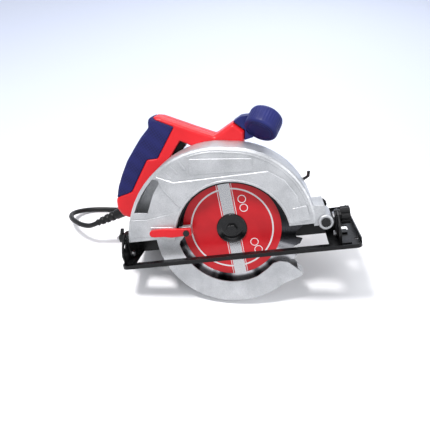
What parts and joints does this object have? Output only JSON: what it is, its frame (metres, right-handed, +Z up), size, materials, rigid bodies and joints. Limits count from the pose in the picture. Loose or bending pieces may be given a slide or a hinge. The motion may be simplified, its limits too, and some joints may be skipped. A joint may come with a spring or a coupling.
{
  "type": "circular saw",
  "caption": "Hand-held circular saw with a cast upper guard, sprung lower guard, D-handle, front knob, tilting base and a cord, standing at rest on its guard, base and motor",
  "frame": {"origin": "centre of the bounding box of the saw without its cord, on the floor it stands on", "axes": "+X runs forward along the saw, +Y away from the blade side towards the motor, +Z up from the floor; the saw itself leans, with its blade plane tipped back"},
  "size_m": [0.4302, 0.3272, 0.2283],
  "materials": {
    "cast_aluminium": "cast, grainy satin, with brighter machined edges",
    "steel": "turned or ground steel",
    "black_steel": "black powder coat or black oxide",
    "blade_paint": "red print on a ground steel disc, with bare carbide tips",
    "red_plastic": "satin moulded housing plastic",
    "navy_rubber": "soft moulded grip rubber with a dimple pattern",
    "black_plastic": "black moulded plastic",
    "copper": "copper windings and commutator bars",
    "cord_rubber": "black rubber cord sheath"
  },
  "bodies": {
    "head": {"spindle_bearing": "steel", "return_spring": "steel", "upper_guard": "cast_aluminium", "gear_case": "cast_aluminium", "bearing_plate": "cast_aluminium", "case_screw_1": "black_steel", "case_screw_2": "black_steel", "case_screw_3": "black_steel", "motor_housing": "red_plastic", "motor_end_cap": "red_plastic", "stator": "steel", "armature_bearing_front": "steel", "armature_bearing_rear": "steel", "carbon_brush_front": "black_plastic", "brush_cap_front": "black_plastic", "carbon_brush_rear": "black_plastic", "brush_cap_rear": "black_plastic", "handle_shell_near": "red_plastic", "handle_shell_far": "red_plastic", "grip_cover": "navy_rubber", "switch_body": "black_plastic", "front_knob": "navy_rubber", "knob_neck": "navy_rubber", "depth_pivot_bolt": "black_steel", "depth_lock_bolt": "steel", "hex_key": "black_steel", "strain_relief": "cord_rubber", "power_cord": "cord_rubber", "cord_coil": "cord_rubber", "plug": "cord_rubber"},
    "blade_spindle": {"saw_blade": "blade_paint", "inner_flange": "black_steel", "outer_flange": "black_steel", "blade_bolt": "black_steel", "spindle": "steel", "output_gear": "steel"},
    "armature": {"armature_shaft": "steel", "armature_core": "copper", "commutator": "copper", "cooling_fan": "black_plastic"},
    "lower_guard_body": {"lower_guard": "cast_aluminium", "guard_lever": "red_plastic", "lever_screw": "black_steel"},
    "trigger_body": {"trigger": "black_plastic"},
    "lock_off_body": {"lock_off_button": "black_plastic"},
    "spindle_lock_body": {"spindle_lock_button": "red_plastic"},
    "carrier_body": {"depth_carrier": "black_steel", "depth_quadrant": "black_steel", "bevel_pin_front": "steel", "bevel_pin_rear": "steel", "bevel_bolt_front": "steel", "bevel_bolt_rear": "steel"},
    "base_body": {"base_plate": "black_steel", "bevel_bracket_front": "black_steel", "bevel_bracket_rear": "black_steel"},
    "bevel_knob_body": {"bevel_knob": "black_plastic"},
    "wing_nut_body": {"bevel_wing_nut": "black_steel"},
    "fence_screw_body": {"fence_clamp_screw": "black_steel"},
    "lock_lever_body": {"depth_lock_lever": "black_plastic"}
  },
  "joints": [
    {"name": "blade_spin", "type": "hinge", "parent": "head", "child": "blade_spindle", "pos_m": [-0.00292, -0.07858, 0.09617], "axis": [0.0671, 0.9253, -0.3732], "continuous": true},
    {"name": "armature_spin", "type": "hinge", "parent": "head", "child": "armature", "pos_m": [-0.0098, 0.02263, 0.07794], "axis": [0.0671, 0.9253, -0.3732], "continuous": true},
    {"name": "guard_swing", "type": "hinge", "parent": "head", "child": "lower_guard_body", "pos_m": [-0.00292, -0.07858, 0.09617], "axis": [0.0671, 0.9253, -0.3732], "range_deg": [0, 115], "stiffness_Nm_per_rad": 0.25, "springref_deg": -68.75},
    {"name": "trigger_slide", "type": "slide", "parent": "head", "child": "trigger_body", "axis": [-0.8856, 0.2275, 0.405], "range_m": [0, 0.005], "stiffness_N_per_m": 1500, "springref_m": -0.002},
    {"name": "lock_off_slide", "type": "slide", "parent": "head", "child": "lock_off_body", "axis": [-0.0671, -0.9253, 0.3732], "range_m": [0, 0.003], "stiffness_N_per_m": 1000, "springref_m": -0.001},
    {"name": "spindle_lock_slide", "type": "slide", "parent": "head", "child": "spindle_lock_body", "axis": [-0.9842, 0, -0.1768], "range_m": [0, 0.005], "stiffness_N_per_m": 1200, "springref_m": -0.001},
    {"name": "depth_hinge", "type": "hinge", "parent": "head", "child": "carrier_body", "pos_m": [0.11641, -0.0553, 0.10836], "axis": [-0.0671, -0.9253, 0.3732], "range_deg": [0, 26]},
    {"name": "bevel_hinge", "type": "hinge", "parent": "carrier_body", "child": "base_body", "pos_m": [0.00068, -0.08692, 0.07613], "axis": [-0.9842, 0, -0.1768], "range_deg": [0, 45]},
    {"name": "bevel_knob_turn", "type": "hinge", "parent": "carrier_body", "child": "bevel_knob_body", "pos_m": [0.13455, -0.07782, 0.12275], "axis": [0.9842, 0, 0.1768], "range_deg": [0, 180]},
    {"name": "wing_nut_turn", "type": "hinge", "parent": "carrier_body", "child": "wing_nut_body", "pos_m": [-0.14891, -0.07782, 0.07182], "axis": [-0.9842, 0, -0.1768], "range_deg": [0, 180]},
    {"name": "fence_screw_turn", "type": "hinge", "parent": "base_body", "child": "fence_screw_body", "pos_m": [0.14786, -0.01959, 0.07125], "axis": [-0.1636, 0.3792, 0.9107], "range_deg": [0, 180]},
    {"name": "depth_lock_swing", "type": "hinge", "parent": "head", "child": "lock_lever_body", "pos_m": [-0.07445, -0.04604, 0.07021], "axis": [-0.0671, -0.9253, 0.3732], "range_deg": [0, 20]}
  ],
  "couplings": [
    {"joint": "armature_spin", "follows": "blade_spin", "ratio": -4.5556}
  ]
}
